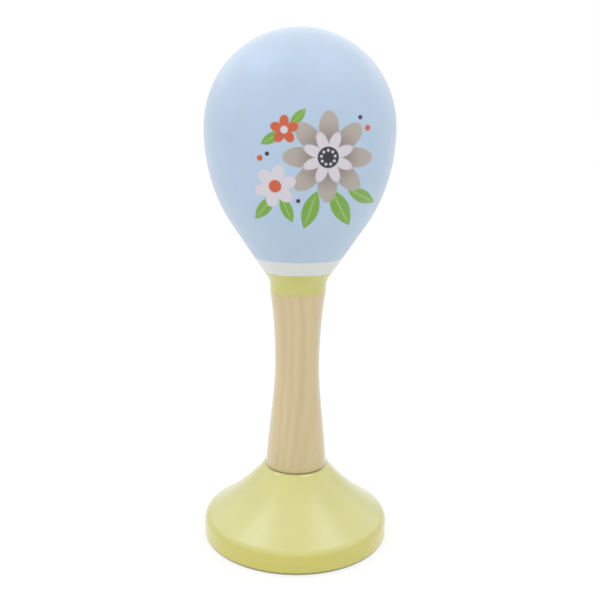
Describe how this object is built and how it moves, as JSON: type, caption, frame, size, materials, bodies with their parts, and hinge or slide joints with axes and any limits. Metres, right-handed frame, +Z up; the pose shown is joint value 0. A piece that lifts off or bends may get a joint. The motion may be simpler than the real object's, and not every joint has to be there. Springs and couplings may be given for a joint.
{
  "type": "wooden maraca",
  "caption": "Wooden shaker: a hollow egg-shaped head with loose beads inside, a tapered neck, a waisted handle and a flared round base that it stands on.",
  "frame": {"origin": "centre of the base's flat underside, on the surface that the maraca stands on", "axes": "+Z up along the turning axis from the base to the crown of the head; -Y is the printed front"},
  "size_m": [0.0594, 0.0594, 0.16],
  "materials": {
    "blue_paint": "satin light blue paint on wood",
    "white_paint": "satin white paint on wood",
    "lime_lacquer": "glossy pale lime lacquer on wood",
    "pale_wood": "clear-coated pale hardwood with fine upright grain",
    "bead_wood": "plain tumbled hardwood"
  },
  "bodies": {
    "shaker": {"base": "lime_lacquer", "handle": "pale_wood", "collar": "lime_lacquer", "neck_ring": "white_paint", "head_bowl": "blue_paint", "head_dome": "blue_paint"},
    "bead_01": {"rattle_bead_01": "bead_wood"},
    "bead_02": {"rattle_bead_02": "bead_wood"},
    "bead_03": {"rattle_bead_03": "bead_wood"},
    "bead_04": {"rattle_bead_04": "bead_wood"},
    "bead_05": {"rattle_bead_05": "bead_wood"},
    "bead_06": {"rattle_bead_06": "bead_wood"},
    "bead_07": {"rattle_bead_07": "bead_wood"},
    "bead_08": {"rattle_bead_08": "bead_wood"},
    "bead_09": {"rattle_bead_09": "bead_wood"},
    "bead_10": {"rattle_bead_10": "bead_wood"},
    "bead_11": {"rattle_bead_11": "bead_wood"},
    "bead_12": {"rattle_bead_12": "bead_wood"},
    "bead_13": {"rattle_bead_13": "bead_wood"},
    "bead_14": {"rattle_bead_14": "bead_wood"},
    "bead_15": {"rattle_bead_15": "bead_wood"},
    "bead_16": {"rattle_bead_16": "bead_wood"},
    "bead_17": {"rattle_bead_17": "bead_wood"},
    "bead_18": {"rattle_bead_18": "bead_wood"},
    "bead_19": {"rattle_bead_19": "bead_wood"}
  },
  "joints": [
    {"name": "bead_01_hop", "type": "slide", "parent": "shaker", "child": "bead_01", "axis": [0, 0, 1], "range_m": [0, 0.042]},
    {"name": "bead_02_hop", "type": "slide", "parent": "shaker", "child": "bead_02", "axis": [0, 0, 1], "range_m": [0, 0.0407]},
    {"name": "bead_03_hop", "type": "slide", "parent": "shaker", "child": "bead_03", "axis": [0, 0, 1], "range_m": [0, 0.0407]},
    {"name": "bead_04_hop", "type": "slide", "parent": "shaker", "child": "bead_04", "axis": [0, 0, 1], "range_m": [0, 0.0407]},
    {"name": "bead_05_hop", "type": "slide", "parent": "shaker", "child": "bead_05", "axis": [0, 0, 1], "range_m": [0, 0.0407]},
    {"name": "bead_06_hop", "type": "slide", "parent": "shaker", "child": "bead_06", "axis": [0, 0, 1], "range_m": [0, 0.0407]},
    {"name": "bead_07_hop", "type": "slide", "parent": "shaker", "child": "bead_07", "axis": [0, 0, 1], "range_m": [0, 0.0407]},
    {"name": "bead_08_hop", "type": "slide", "parent": "shaker", "child": "bead_08", "axis": [0, 0, 1], "range_m": [0, 0.034]},
    {"name": "bead_09_hop", "type": "slide", "parent": "shaker", "child": "bead_09", "axis": [0, 0, 1], "range_m": [0, 0.034]},
    {"name": "bead_10_hop", "type": "slide", "parent": "shaker", "child": "bead_10", "axis": [0, 0, 1], "range_m": [0, 0.034]},
    {"name": "bead_11_hop", "type": "slide", "parent": "shaker", "child": "bead_11", "axis": [0, 0, 1], "range_m": [0, 0.034]},
    {"name": "bead_12_hop", "type": "slide", "parent": "shaker", "child": "bead_12", "axis": [0, 0, 1], "range_m": [0, 0.034]},
    {"name": "bead_13_hop", "type": "slide", "parent": "shaker", "child": "bead_13", "axis": [0, 0, 1], "range_m": [0, 0.034]},
    {"name": "bead_14_hop", "type": "slide", "parent": "shaker", "child": "bead_14", "axis": [0, 0, 1], "range_m": [0, 0.034]},
    {"name": "bead_15_hop", "type": "slide", "parent": "shaker", "child": "bead_15", "axis": [0, 0, 1], "range_m": [0, 0.034]},
    {"name": "bead_16_hop", "type": "slide", "parent": "shaker", "child": "bead_16", "axis": [0, 0, 1], "range_m": [0, 0.034]},
    {"name": "bead_17_hop", "type": "slide", "parent": "shaker", "child": "bead_17", "axis": [0, 0, 1], "range_m": [0, 0.034]},
    {"name": "bead_18_hop", "type": "slide", "parent": "shaker", "child": "bead_18", "axis": [0, 0, 1], "range_m": [0, 0.034]},
    {"name": "bead_19_hop", "type": "slide", "parent": "shaker", "child": "bead_19", "axis": [0, 0, 1], "range_m": [0, 0.034]}
  ]
}
